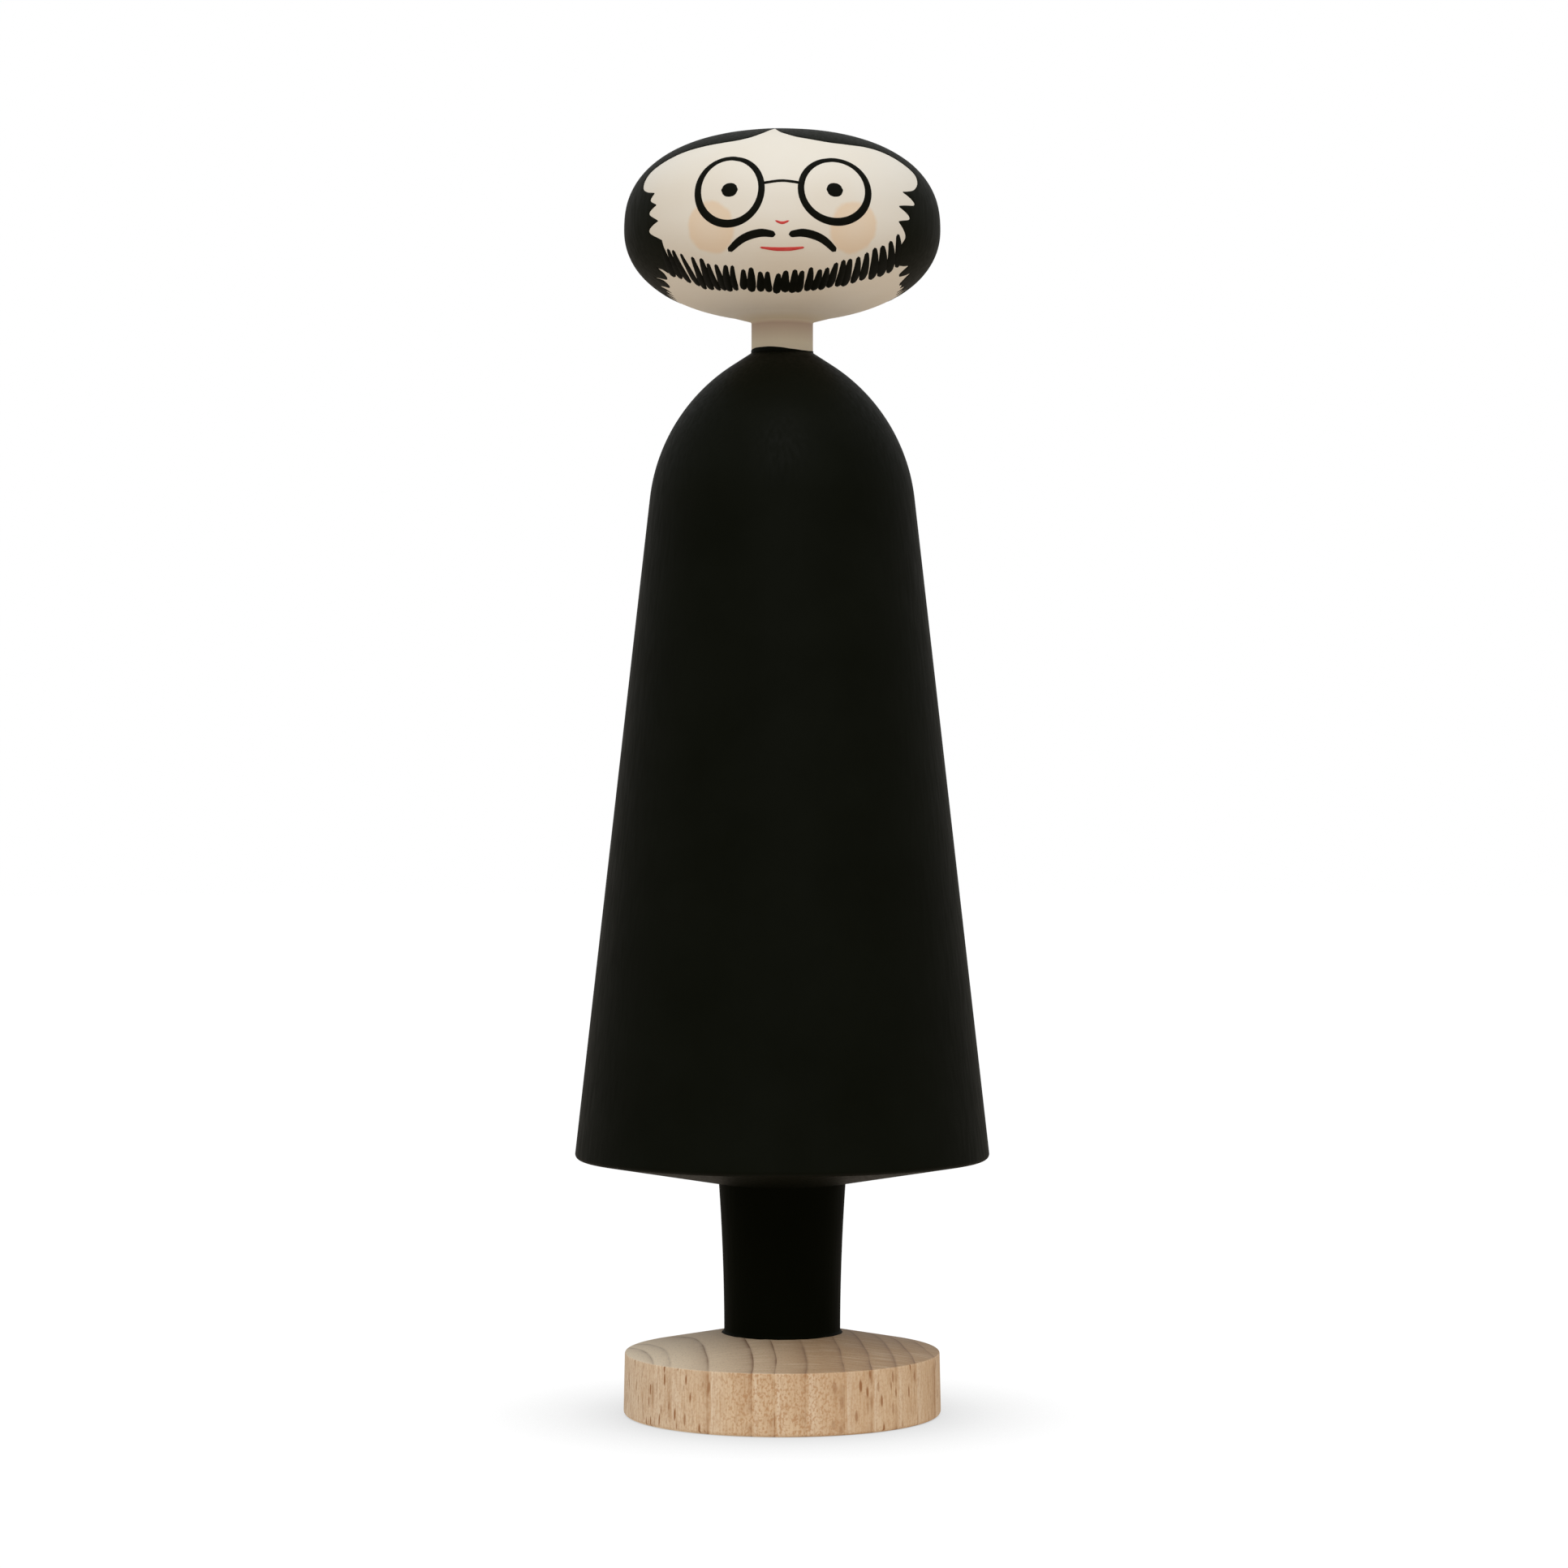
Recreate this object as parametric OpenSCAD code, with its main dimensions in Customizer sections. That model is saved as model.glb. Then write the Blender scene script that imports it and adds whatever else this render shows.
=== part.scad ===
// Painted wooden figure, turned on a lathe: a base disc, a leg, a robe, a neck and a head,
// all on one upright axis. The origin is the centre of the base's underside.

/* [Base] */
// Diameter of the base disc at its foot
base_d = 50; // [46:0.5:60]
// Diameter of the base disc at the top of its rim
base_top_d = 49.6; // [45:0.1:60]
// Height of the upright rim
base_rim_h = 9.7; // [8:0.1:14]
// Rise of the conical top from the rim to the leg
base_rise = 3.1; // [1.5:0.1:5]
// Rounding of the base's lower edge
base_edge_r = 0.6; // [0.2:0.1:1.5]
// Rounding of the edge at the top of the rim
base_rim_r = 0.3; // [0.1:0.1:1]

/* [Leg] */
// Diameter of the leg where it stands on the base
leg_foot_d = 18.3; // [15:0.1:24]
// Diameter of the leg under the robe
leg_top_d = 20; // [16:0.1:26]
// Height of the leg between the base and the robe
leg_h = 23.5; // [21:0.5:40]
// Depth of the hollow curve in the leg's side
leg_hollow = 0.2; // [0:0.05:0.8]

/* [Robe] */
// Diameter of the robe at its hem
hem_d = 65.4; // [58:0.2:74]
// Height of the robe from its hem to its collar
robe_h = 126.7; // [110:0.1:150]
// Diameter of the robe at its collar
collar_d = 9.8; // [9:0.1:14]
// Slope of the robe's side from the upright
side_slope = 6.5; // [5:0.1:8]
// Slope of the shoulders from the upright
shoulder_slope = 57; // [52:0.5:62]
// Radius of the rounded shoulders
shoulder_r = 28.8; // [15:0.2:30]
// Drop of the conical underside from the hem to the leg
underside_drop = 4; // [2:0.1:8]
// Rounding of the hem's edge
hem_edge_r = 0.8; // [0.5:0.1:3]

/* [Neck] */
// Diameter of the neck
neck_d = 9.7; // [9:0.1:14]
// Height of the neck between the collar and the head
neck_h = 5.5; // [3:0.1:10]
// Diameter of the neck's two tenons
tenon_d = 7; // [5:0.1:7.5]
// Length of the tenon in the head
head_tenon_l = 12; // [8:0.5:16]
// Length of the tenon in the robe
robe_tenon_l = 16; // [8:0.5:24]
// Chamfer on the ends of the tenons
tenon_chamfer = 0.6; // [0.2:0.1:1.5]

/* [Head] */
// Diameter of the head at its widest line
head_d = 49.7; // [40:0.1:64]
// Height of the crown above the widest line
crown_h = 15.2; // [10:0.1:24]
// Depth of the jaw below the widest line
jaw_h = 14.1; // [10:0.1:24]
// Fullness of the crown, where 2 is an ellipse and more is squarer
crown_fullness = 2.34; // [2:0.01:3]
// Fullness of the jaw
jaw_fullness = 2.19; // [2:0.01:3]

/* [Dowel] */
// Diameter of the dowel between the leg and the robe
dowel_d = 10; // [6:0.5:12]
// Length of the dowel
dowel_l = 30; // [25:1:40]
// Length of the dowel in the leg, the rest being in the robe
dowel_leg_l = 8.5; // [6:0.5:11]
// Number of flutes in the dowel
flute_count = 16; // [8:1:24]
// Width of a flute
flute_w = 0.8; // [0.4:0.1:1.2]
// Chamfer on the ends of the dowel
dowel_chamfer = 0.8; // [0.3:0.1:1.5]

/* [Screw] */
// Diameter of the base screw over its thread
screw_d = 4; // [3:0.5:5]
// Diameter of the screw's countersunk head
screw_head_d = 8; // [7:0.5:10]
// Thickness of the upright edge of the screw's head
screw_head_edge = 0.4; // [0.2:0.1:0.8]
// Depth of the screw's head under the face that the base stands on
screw_sink = 0.8; // [0.3:0.1:2]
// Reach of the screw into the leg
screw_bite = 8; // [6:0.5:10]
// Length of the screw's point
screw_point_l = 3; // [2:0.1:4]
// Width of the arms of the cross recess
recess_w = 1.1; // [0.8:0.1:1.5]
// Span of the cross recess
recess_span = 4.4; // [3:0.1:5]
// Depth of the cross recess
recess_depth = 1.8; // [1:0.1:2.5]

/* [Fits] */
// Gap for glue all round a tenon or the dowel
glue_gap = 0.1; // [0.05:0.05:0.3]
// Space left at the bottom of a blind bore
bore_end_gap = 0.6; // [0.2:0.1:1.5]
// Chamfer at the mouth of a bore
bore_mouth = 0.4; // [0.1:0.1:0.8]
// Gap round the screw in the base
screw_gap = 0.3; // [0.1:0.05:0.6]
// Gap round the screw in the leg
thread_gap = 0.05; // [0.02:0.01:0.1]
// Gap under the cone of the screw's head
screw_seat_gap = 0.05; // [0.02:0.01:0.2]

/* [Hidden] */

$fn = 96;
// Number of steps in a long curve and in a rounded edge
curve_steps = 32;
edge_steps = 8;
// Angle of the blunt point that a wood bit leaves at the bottom of a bore
bore_point_angle = 150;
// How far a cut runs past the face that it starts from
over = 1;

beech_colour = "#c7a481";
cream_colour = "#ddd4c4";
black_colour = "#15170f";
steel_colour = "#b8b8b2";

// Heights of the seats, from the base upwards
leg_z = base_rim_h + base_rise;
robe_z = leg_z + leg_h;
hem_z = robe_z + underside_drop;
collar_z = hem_z + robe_h;
head_seat_z = collar_z + neck_h;
head_mid_z = head_seat_z + jaw_h * fuller(neck_d / head_d, jaw_fullness);

screw_l = leg_z - screw_sink + screw_bite;
screw_cone_z = screw_sink + screw_head_edge;

// Height on a superellipse of half-width and half-height 1 at the distance x from its axis
function fuller(x, fullness) = pow(1 - pow(x, fullness), 1 / fullness);

// Point at the angle a of a superellipse, from its widest line (0) to its pole (90)
function fuller_point(a, w, h, fullness) = [w * pow(cos(a), 2 / fullness), h * pow(sin(a), 2 / fullness)];

// Angle at which the superellipse has narrowed to the share x of its width
function fuller_angle(x, fullness) = acos(pow(x, fullness / 2));

function unit(v) = v / norm(v);

// Arc of radius r that rounds the corner p between the points a and b of an outline,
// or of the largest radius that the two sides have room for
function rounded(a, p, b, r, steps) =
    let (u = unit(a - p))
    let (v = unit(b - p))
    let (half = acos(u * v) / 2)
    let (fit_r = min(r, tan(half) * min(norm(a - p), norm(b - p))))
    let (centre = p + unit(u + v) * fit_r / sin(half))
    let (from = p + u * fit_r / tan(half) - centre)
    let (sweep = (180 - 2 * half) * sign(cross(p - a, b - p)))
    [for (i = [0:steps]) centre + turned(from, sweep * i / steps)];

function turned(v, a) = [v.x * cos(a) - v.y * sin(a), v.x * sin(a) + v.y * cos(a)];

// Blind bore that runs down from the origin, with a chamfered mouth and a blunt point
module blind_bore(d, depth) {
    r = d / 2;
    tip = r / tan(bore_point_angle / 2);
    rotate_extrude()
        polygon([
            [0, over],
            [r + bore_mouth + over, over],
            [r, -bore_mouth],
            [r, -depth],
            [0, -depth - tip]
        ]);
}

// Clearance hole and countersink for the base screw, open at the underside
module screw_hole() {
    head_r = screw_head_d / 2 + screw_gap;
    shank_r = screw_d / 2 + screw_gap;
    cone_z = screw_cone_z + screw_seat_gap - screw_gap;
    rotate_extrude()
        polygon([
            [0, -over],
            [head_r, -over],
            [head_r, cone_z],
            [shank_r, cone_z + head_r - shank_r],
            [shank_r, leg_z + over],
            [0, leg_z + over]
        ]);
}

// Unpainted disc with an upright rim and a conical top that rises to the leg
module base_disc() {
    foot = [base_d / 2, 0];
    rim = [base_top_d / 2, base_rim_h];
    seat = [leg_foot_d / 2, leg_z];
    color(beech_colour)
        difference() {
            rotate_extrude()
                polygon(concat(
                    [[0, 0]],
                    rounded([0, 0], foot, rim, base_edge_r, edge_steps),
                    rounded(foot, rim, seat, base_rim_r, edge_steps),
                    [seat, [0, leg_z]]
                ));
            screw_hole();
        }
}

// Countersunk wood screw that holds the base to the leg from below
module base_screw() {
    head_r = screw_head_d / 2;
    shank_r = screw_d / 2;
    color(steel_colour)
        difference() {
            rotate_extrude()
                polygon([
                    [0, screw_sink],
                    [head_r, screw_sink],
                    [head_r, screw_cone_z],
                    [shank_r, screw_cone_z + head_r - shank_r],
                    [shank_r, screw_sink + screw_l - screw_point_l],
                    [0, screw_sink + screw_l]
                ]);
            for (a = [0, 90])
                rotate(a)
                    translate([-recess_span / 2, -recess_w / 2, screw_sink - over])
                        cube([recess_span, recess_w, recess_depth + over]);
        }
}

// Radius of the leg at the share t of its height: a straight flare less a shallow hollow
function leg_r(t) = (leg_foot_d + (leg_top_d - leg_foot_d) * t) / 2 - leg_hollow * 4 * t * (1 - t);

// Flared leg with a hollow side, drilled for the screw below and the dowel above
module leg() {
    screw_depth = screw_bite + bore_end_gap;
    color(black_colour)
        difference() {
            rotate_extrude()
                polygon(concat(
                    [[0, leg_z]],
                    [for (i = [0:curve_steps]) [leg_r(i / curve_steps), leg_z + leg_h * i / curve_steps]],
                    [[0, robe_z]]
                ));
            translate([0, 0, leg_z])
                mirror([0, 0, 1])
                    blind_bore(screw_d + 2 * thread_gap, screw_depth);
            translate([0, 0, robe_z])
                blind_bore(dowel_d + 2 * glue_gap, dowel_leg_l + bore_end_gap);
        }
}

// Fluted glue dowel between the leg and the robe
module waist_dowel() {
    r = dowel_d / 2;
    color(beech_colour)
        translate([0, 0, robe_z - dowel_leg_l])
            intersection() {
                linear_extrude(dowel_l)
                    difference() {
                        circle(r);
                        for (i = [1:flute_count])
                            rotate(360 * i / flute_count)
                                translate([r, 0])
                                    circle(d = flute_w, $fn = 24);
                    }
                rotate_extrude()
                    polygon([
                        [0, 0],
                        [r - dowel_chamfer, 0],
                        [r + over, dowel_chamfer + over],
                        [r + over, dowel_l - dowel_chamfer - over],
                        [r - dowel_chamfer, dowel_l],
                        [0, dowel_l]
                    ]);
            }
}

// Corner where the line of the robe's side would meet the line of its shoulder
function shoulder_corner() =
    let (side = tan(side_slope))
    let (shoulder = tan(shoulder_slope))
    let (drop = ((hem_d - collar_d) / 2 - side * robe_h) / (shoulder - side))
    [collar_d / 2 + shoulder * drop, collar_z - drop];

// Long robe with rounded shoulders, straight sides and a conical underside
module robe() {
    seat = [leg_top_d / 2, robe_z];
    hem = [hem_d / 2, hem_z];
    corner = shoulder_corner();
    collar = [collar_d / 2, collar_z];
    color(black_colour)
        difference() {
            rotate_extrude()
                polygon(concat(
                    [[0, robe_z], seat],
                    rounded(seat, hem, corner, hem_edge_r, edge_steps),
                    rounded(hem, corner, collar, shoulder_r, curve_steps),
                    [collar, [0, collar_z]]
                ));
            translate([0, 0, robe_z])
                mirror([0, 0, 1])
                    blind_bore(dowel_d + 2 * glue_gap, dowel_l - dowel_leg_l + bore_end_gap);
            translate([0, 0, collar_z])
                blind_bore(tenon_d + 2 * glue_gap, robe_tenon_l + bore_end_gap);
        }
}

// Neck with a chamfered tenon at each end, seated on the collar and under the head
module neck() {
    neck_r = neck_d / 2;
    tenon_r = tenon_d / 2;
    low_z = collar_z - robe_tenon_l;
    high_z = head_seat_z + head_tenon_l;
    color(cream_colour)
        rotate_extrude()
            polygon([
                [0, low_z],
                [tenon_r - tenon_chamfer, low_z],
                [tenon_r, low_z + tenon_chamfer],
                [tenon_r, collar_z],
                [neck_r, collar_z],
                [neck_r, head_seat_z],
                [tenon_r, head_seat_z],
                [tenon_r, high_z - tenon_chamfer],
                [tenon_r - tenon_chamfer, high_z],
                [0, high_z]
            ]);
}

// Flattened egg-shaped head with a flat seat and a blind bore for the neck
module head() {
    seat_angle = fuller_angle(neck_d / head_d, jaw_fullness);
    widest = [0, head_mid_z];
    color(cream_colour)
        difference() {
            rotate_extrude()
                polygon(concat(
                    [[0, head_seat_z]],
                    [for (i = [curve_steps:-1:1])
                        let (p = fuller_point(seat_angle * i / curve_steps, head_d / 2, jaw_h, jaw_fullness))
                        widest + [p.x, -p.y]],
                    [for (i = [0:curve_steps - 1])
                        widest + fuller_point(90 * i / curve_steps, head_d / 2, crown_h, crown_fullness)],
                    [widest + [0, crown_h]]
                ));
            translate([0, 0, head_seat_z])
                mirror([0, 0, 1])
                    blind_bore(tenon_d + 2 * glue_gap, head_tenon_l + bore_end_gap);
        }
}

base_disc();
base_screw();
leg();
waist_dowel();
robe();
neck();
head();
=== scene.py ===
import bisect
import math
import random

import bmesh
import bpy
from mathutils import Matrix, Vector, kdtree, noise
from mathutils.geometry import delaunay_2d_cdt


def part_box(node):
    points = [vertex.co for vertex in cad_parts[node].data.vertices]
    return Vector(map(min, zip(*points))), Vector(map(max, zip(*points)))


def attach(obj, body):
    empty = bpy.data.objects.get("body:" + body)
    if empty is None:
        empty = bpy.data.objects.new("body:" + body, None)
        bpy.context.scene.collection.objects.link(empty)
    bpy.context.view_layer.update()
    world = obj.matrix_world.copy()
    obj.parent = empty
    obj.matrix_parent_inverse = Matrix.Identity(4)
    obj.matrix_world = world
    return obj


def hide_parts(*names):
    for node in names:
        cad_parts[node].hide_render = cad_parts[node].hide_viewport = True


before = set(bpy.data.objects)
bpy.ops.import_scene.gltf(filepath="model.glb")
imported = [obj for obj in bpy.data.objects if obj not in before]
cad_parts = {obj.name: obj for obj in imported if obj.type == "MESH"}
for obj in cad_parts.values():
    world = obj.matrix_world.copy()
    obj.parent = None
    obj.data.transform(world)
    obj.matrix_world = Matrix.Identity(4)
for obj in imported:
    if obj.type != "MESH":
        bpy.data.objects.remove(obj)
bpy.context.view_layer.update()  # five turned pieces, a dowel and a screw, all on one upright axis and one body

mm = 0.001  # settings are in millimetres and degrees, meshes in metres
tiny = 1e-6  # a smaller radius lies on the axis, and a smaller difference of angles is none


def boxOf(node):
    low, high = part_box(node)
    return low / mm, high / mm


# Heights where the pieces seat on each other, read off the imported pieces
legZ, robeZ = [corner.z for corner in boxOf("leg")]
collarZ = boxOf("robe")[1].z
headSeatZ, headTopZ = [corner.z for corner in boxOf("head")]
# Sizes that two neighbours share where one sits on or in the other
seats = {"legFootD": 18.3, "legTopD": 20, "dowelBoreD": 10.2, "neckD": 9.7, "tenonBoreD": 7.2}
print("frame loaded, figure is", round(headTopZ, 2), "mm tall")


# Materials: one function for colours, one for nodes

def toLinear(hexColour):
    shares = [int(hexColour[i:i + 2], 16) / 255 for i in (1, 3, 5)]
    return [s / 12.92 if s <= 0.04045 else ((s + 0.055) / 1.055) ** 2.4 for s in shares] + [1.0]


def addNode(tree, kind, inputs=None, stops=None, **settings):
    # inputs take a value, a hex colour, a node (its first output) or one output of a node
    # a MapRange takes the range in 1 and 2 to that in 3 and 4, a Mix goes from the colour in 6 to that in 7
    node = tree.nodes.new("ShaderNode" + kind)
    for name, value in settings.items():
        setattr(node, name, value)
    for socket, value in (inputs or {}).items():
        if isinstance(value, bpy.types.Node):
            value = value.outputs[0]
        if isinstance(value, bpy.types.NodeSocket):
            tree.links.new(value, node.inputs[socket])
        else:
            node.inputs[socket].default_value = toLinear(value) if isinstance(value, str) else value
    if stops:
        ramp = node.color_ramp.elements
        while len(ramp) < len(stops):
            ramp.new(1.0)
        for element, (place, colour) in zip(ramp, stops):
            element.position, element.color = place, toLinear(colour)
    return node


def newMaterial(name):
    material = bpy.data.materials.new(name)
    material.use_nodes = True
    material.node_tree.nodes.clear()
    return material, material.node_tree


def inMillimetres(tree, size=(1, 1, 1)):
    # object coordinates in millimetres, each axis then divided by the pattern's own size
    place = addNode(tree, "TexCoord").outputs["Object"]
    return addNode(tree, "VectorMath", {0: place, 1: [1 / mm / s for s in size]}, operation="MULTIPLY")


def drawMarks(tree, look, names):
    # each mark is noise of a real size, and one stretch of that noise gives the values that the mark is for
    noises, gives = {}, {}
    for name in names:
        mark = look[name]
        (low, high), (least, most) = mark["noise"], mark["gives"]
        noises[name] = addNode(tree, "TexNoise", {
            "Vector": inMillimetres(tree, mark["size"]), "Scale": 1.0, "Detail": mark["octaves"]})
        gives[name] = addNode(tree, "MapRange", {0: noises[name], 1: low, 2: high, 3: least, 4: most})
    return noises, gives


def finishSurface(tree, look, colour, layers, rough, height=None, sunk=False):
    # wood and paint alike: each layer's share of its tint over the colour, a roughness and, where a height is
    # given, a fine relief that stands up or is sunk
    for share, tint in layers:
        colour = addNode(tree, "Mix", {0: share, 6: colour, 7: tint}, data_type="RGBA").outputs[2]
    surface = {"Base Color": colour, "Roughness": rough, "IOR": look["ior"],
               "Specular IOR Level": look["shine"]}
    if height:
        surface["Normal"] = addNode(tree, "Bump", {
            "Height": height, "Strength": look["bump"], "Distance": look["relief"] * mm}, invert=sunk)
    addNode(tree, "OutputMaterial", {"Surface": addNode(tree, "BsdfPrincipled", surface)})


# Bare beech, turned and sanded: pale pinkish brown, with thin dark ring lines that run front to back over the
# end grain on top and down the sides. The end grain is greyer, with pores and pale rays, and the sides have
# brown ray flecks on the flanks and speckle in front
bareBeech = {
    "earlyWood": "#EBCFAB", "lateWood": "#BC9068", "springWood": "#F6E4CB", "lineBrown": "#AA7B51",
    "fleckBrown": "#A5744B", "speckleBrown": "#C08E60", "streakBrown": "#C79E73",
    "endWood": "#BC9B78", "endPale": "#F0DEC2", "endLine": "#7F5F4B",
    # the pith of the tree lay well outside the disc, and each year grew by its own width
    "pith": (-85, -21, 0), "firstRing": 59.3, "springStart": 0.3,
    "years": (3.4, 3.4, 2.6, 5.8, 6.6, 3.6, 4.9, 5.5, 4.3, 4.2, 3.1, 3.6, 4.1),
    "autumnPower": 2.5, "autumnShare": 0.36, "linePower": 22, "springPower": 5, "springShare": 0.55,
    "sidePaleR": (62, 79), "sidePale": 0.62, "endPaleR": (64, 91),
    "cloud": {"size": (9, 9, 22), "octaves": 3, "noise": (0.3, 0.7), "gives": (0, 0.3)},
    # the rings sway, and their lines break off and start again
    "sway": {"size": (14, 14, 112), "octaves": 1, "noise": (0, 1), "gives": (0, 1.4)},
    "unbroken": {"size": (5, 5, 3.4), "octaves": 2, "noise": (0.4, 0.6), "gives": (0.12, 1)},
    "endUnbroken": {"size": (5, 5, 3.4), "octaves": 2, "noise": (0.35, 0.6), "gives": (0.5, 1)},
    # speckle, pores and their upright streaks are drawn coarser than the real 0.1 mm so that they show
    "streak": {"size": (0.3, 0.3, 3.2), "octaves": 2, "noise": (0.42, 0.7), "gives": (0, 0.5)},
    "dull": {"size": (0.3, 0.3, 3.2), "octaves": 2, "noise": (0.3, 0.7), "gives": (0.56, 0.7)},  # roughness
    "speckle": {"size": (0.33, 0.33, 0.46), "octaves": 1, "noise": (0.47, 0.66), "gives": (0, 1)},
    "pore": {"size": (0.26, 0.26, 0.26), "octaves": 1, "noise": (0.5, 0.7), "gives": (0, 0.2)},
    "speckleShare": (0.68, 0.3),  # in front and on the flanks
    "rayWidth": 0.45, "rayLength": 7, "rayNoise": (0.5, 0.72), "rayShare": 0.32,
    "fleckCell": (2.0, 1.0, 2.5), "fleckHalf": (1.0, 0.17, 1.25), "fleckPick": (0.15, 0.7), "fleckCore": 0.5,
    # how far a surface has to look up or down to show end grain, and left or right to be a flank
    "facing": {"Z": (0.45, 0.85), "X": (0.2, 0.45)},
    "ior": 1.5, "shine": 0.3, "bump": 0.5, "relief": 0.03,
}


def makeBeech(name, look):
    material, tree = newMaterial(name)
    noises, gives = drawMarks(tree, look, ("sway", "unbroken", "endUnbroken", "cloud", "streak", "dull",
                                           "speckle", "pore"))
    # growth rings by distance from the pith: 0 where a year starts in spring, 1 at its dark autumn line
    level = addNode(tree, "VectorMath", {0: inMillimetres(tree), 1: (1, 1, 0)}, operation="MULTIPLY")
    reach = addNode(tree, "VectorMath", {0: level, 1: look["pith"]}, operation="DISTANCE").outputs["Value"]
    swayed = addNode(tree, "Math", {0: gives["sway"], 1: reach}, operation="ADD")
    total, grown, stops = sum(look["years"]), 0.0, []
    for width in look["years"]:
        stops += [((grown + look["springStart"]) / total, "#000000"), ((grown + width) / total, "#FFFFFF")]
        grown += width
    along = addNode(tree, "MapRange", {0: swayed, 1: look["firstRing"], 2: look["firstRing"] + total})
    season = addNode(tree, "ValToRGB", {0: along}, stops=stops)
    autumn = addNode(tree, "Math", {0: season, 1: look["autumnPower"]}, operation="POWER")
    line = addNode(tree, "Math", {0: season, 1: look["linePower"]}, operation="POWER")
    dark = addNode(tree, "Math", {0: autumn, 1: look["autumnShare"], 2: line}, operation="MULTIPLY_ADD",
                   use_clamp=True)
    sideLine = addNode(tree, "Math", {0: dark, 1: gives["unbroken"]}, operation="MULTIPLY")
    endLine = addNode(tree, "Math", {0: dark, 1: gives["endUnbroken"]}, operation="MULTIPLY")
    # a pale band of spring wood lies behind each line, and all the wood, sides and end grain, is paler towards
    # the left, where the pith lies
    youth = addNode(tree, "MapRange", {0: season, 3: 1.0, 4: 0.0})
    spring = addNode(tree, "Math", {0: youth, 1: look["springPower"]}, operation="POWER")
    springShare = addNode(tree, "Math", {0: spring, 1: look["springShare"]}, operation="MULTIPLY")
    (near, far), (endNear, endFar) = look["sidePaleR"], look["endPaleR"]
    sidePale = addNode(tree, "MapRange", {0: reach, 1: near, 2: far, 3: look["sidePale"], 4: 0.0})
    endPale = addNode(tree, "MapRange", {0: reach, 1: endNear, 2: endFar, 3: 1.0, 4: 0.0})
    facing = addNode(tree, "SeparateXYZ", {0: addNode(tree, "NewGeometry").outputs["Normal"]})
    cuts = {}
    for axis, (low, high) in look["facing"].items():
        tilt = addNode(tree, "Math", {0: facing.outputs[axis]}, operation="ABSOLUTE")
        cuts[axis] = addNode(tree, "MapRange", {0: tilt, 1: low, 2: high}, interpolation_type="SMOOTHSTEP")
    endGrain, flank = cuts["Z"], cuts["X"]
    # flecks: upright lenses of ray tissue, seen end on at the flanks
    place = inMillimetres(tree, look["fleckCell"])
    cell = addNode(tree, "TexVoronoi", {"Vector": place, "Scale": 1.0, "Randomness": 1.0})
    offset = addNode(tree, "VectorMath", {0: place, 1: cell.outputs["Position"]}, operation="SUBTRACT")
    slim = [c / h for c, h in zip(look["fleckCell"], look["fleckHalf"])]
    lens = addNode(tree, "VectorMath", {0: offset, 1: slim}, operation="MULTIPLY")
    lensSize = addNode(tree, "VectorMath", {0: lens}, operation="LENGTH").outputs["Value"]
    pick = addNode(tree, "SeparateColor", {0: cell.outputs["Color"]})
    none, full = look["fleckPick"]
    shown = addNode(tree, "MapRange", {0: pick, 1: none, 2: full, 4: flank})
    fleck = addNode(tree, "MapRange", {0: lensSize, 1: 1.0, 2: look["fleckCore"], 4: shown},
                    interpolation_type="SMOOTHSTEP")
    # the speckle shows in front, where the rays are cut slantwise
    inFront, onFlank = look["speckleShare"]
    speckleShare = addNode(tree, "MapRange", {0: flank, 3: inFront, 4: onFlank})
    speckle = addNode(tree, "Math", {0: gives["speckle"], 1: speckleShare}, operation="MULTIPLY")
    # thin rays run out from the pith over the end grain, also drawn coarser than they are
    outward = addNode(tree, "VectorMath", {0: level, 1: look["pith"]}, operation="SUBTRACT")
    spread = addNode(tree, "SeparateXYZ", {0: outward})
    turn = addNode(tree, "Math", {0: spread.outputs["Y"], 1: spread.outputs["X"]}, operation="ARCTAN2")
    rayCount = Vector(look["pith"]).length / look["rayWidth"]
    rayPlace = addNode(tree, "CombineXYZ", {
        0: addNode(tree, "Math", {0: reach, 1: look["rayLength"]}, operation="DIVIDE"),
        1: addNode(tree, "Math", {0: turn, 1: rayCount}, operation="MULTIPLY")})
    rayNoise = addNode(tree, "TexNoise", {"Vector": rayPlace, "Scale": 1.0, "Detail": 1.0})
    low, high = look["rayNoise"]
    ray = addNode(tree, "MapRange", {0: rayNoise, 1: low, 2: high, 4: look["rayShare"]})
    end = look["endWood"]
    for share, tint in ((endPale, "endPale"), (ray, "endPale"), (gives["pore"], "endLine"),
                        (endLine, "endLine")):
        end = addNode(tree, "Mix", {0: share, 6: end, 7: look[tint]}, data_type="RGBA").outputs[2]
    layers = [(gives["cloud"], look["lateWood"]), (springShare, look["springWood"]),
              (sidePale, look["springWood"]), (gives["streak"], look["streakBrown"]),
              (speckle, look["speckleBrown"]), (sideLine, look["lineBrown"]), (fleck, look["fleckBrown"]),
              (endGrain, end)]
    sunk = addNode(tree, "Math", {0: fleck, 1: noises["streak"]}, operation="ADD")
    finishSurface(tree, look, look["earlyWood"], layers, gives["dull"], sunk, True)
    return material
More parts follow.
